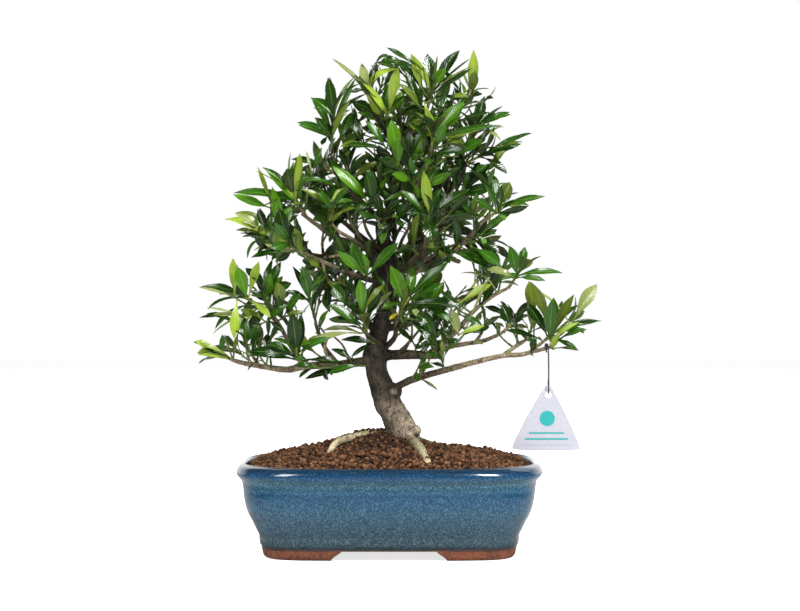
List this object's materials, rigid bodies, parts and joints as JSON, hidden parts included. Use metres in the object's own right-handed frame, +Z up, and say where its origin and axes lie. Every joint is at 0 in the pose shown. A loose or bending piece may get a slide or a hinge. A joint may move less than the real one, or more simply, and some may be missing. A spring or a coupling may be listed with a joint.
{
  "type": "gardenia bonsai",
  "caption": "Gardenia bonsai with a leafy open crown over a slim gnarled trunk, in a glazed oblong pot on feet, with a hanging tag.",
  "frame": {"origin": "middle of the whole plant and pot's box, on the plane that the pot's feet stand on", "axes": "+X to the right along the pot's length, +Y to the back, +Z up along the trunk"},
  "size_m": [0.4006, 0.2454, 0.5],
  "materials": {
    "glaze": "gloss",
    "clay": "matte",
    "soil": "matte",
    "bark": "matte",
    "leaf": "gloss",
    "young_leaf": "gloss",
    "screen": "matte",
    "tag": "satin",
    "wire": "matte"
  },
  "bodies": {
    "root": {"pot": "glaze", "clay_foot_front_left": "clay", "clay_foot_front_right": "clay", "clay_foot_back_left": "clay", "clay_foot_back_right": "clay", "drain_screen_left": "screen", "drain_screen_right": "screen", "soil": "soil", "trunk_and_branches": "bark", "tag": "tag", "tag_wire": "wire", "leafy_shoot_01": "young_leaf", "leafy_shoot_02": "leaf", "leafy_shoot_03": "leaf", "leafy_shoot_04": "young_leaf", "leafy_shoot_05": "leaf", "leafy_shoot_06": "leaf", "leafy_shoot_07": "young_leaf", "leafy_shoot_08": "leaf", "leafy_shoot_09": "leaf", "leafy_shoot_10": "young_leaf", "leafy_shoot_11": "leaf", "leafy_shoot_12": "leaf", "leafy_shoot_13": "young_leaf", "leafy_shoot_14": "leaf", "leafy_shoot_15": "leaf", "leafy_shoot_16": "young_leaf", "leafy_shoot_17": "leaf", "leafy_shoot_18": "leaf", "leafy_shoot_19": "young_leaf", "leafy_shoot_20": "leaf", "leafy_shoot_21": "leaf", "leafy_shoot_22": "young_leaf", "leafy_shoot_23": "leaf", "leafy_shoot_24": "leaf", "leafy_shoot_25": "young_leaf", "leafy_shoot_26": "leaf", "leafy_shoot_27": "leaf", "leafy_shoot_28": "young_leaf", "leafy_shoot_29": "leaf", "leafy_shoot_30": "leaf", "leafy_shoot_31": "young_leaf", "leafy_shoot_32": "leaf", "leafy_shoot_33": "leaf", "leafy_shoot_34": "young_leaf", "leafy_shoot_35": "leaf", "leafy_shoot_36": "leaf", "leafy_shoot_37": "young_leaf", "leafy_shoot_38": "leaf", "leafy_shoot_39": "leaf", "leafy_shoot_40": "young_leaf", "leafy_shoot_41": "leaf", "leafy_shoot_42": "leaf", "leafy_shoot_43": "young_leaf", "leafy_shoot_44": "leaf", "leafy_shoot_45": "leaf", "leafy_shoot_46": "young_leaf", "leafy_shoot_47": "leaf", "leafy_shoot_48": "leaf", "leafy_shoot_49": "young_leaf"}
  },
  "joints": []
}
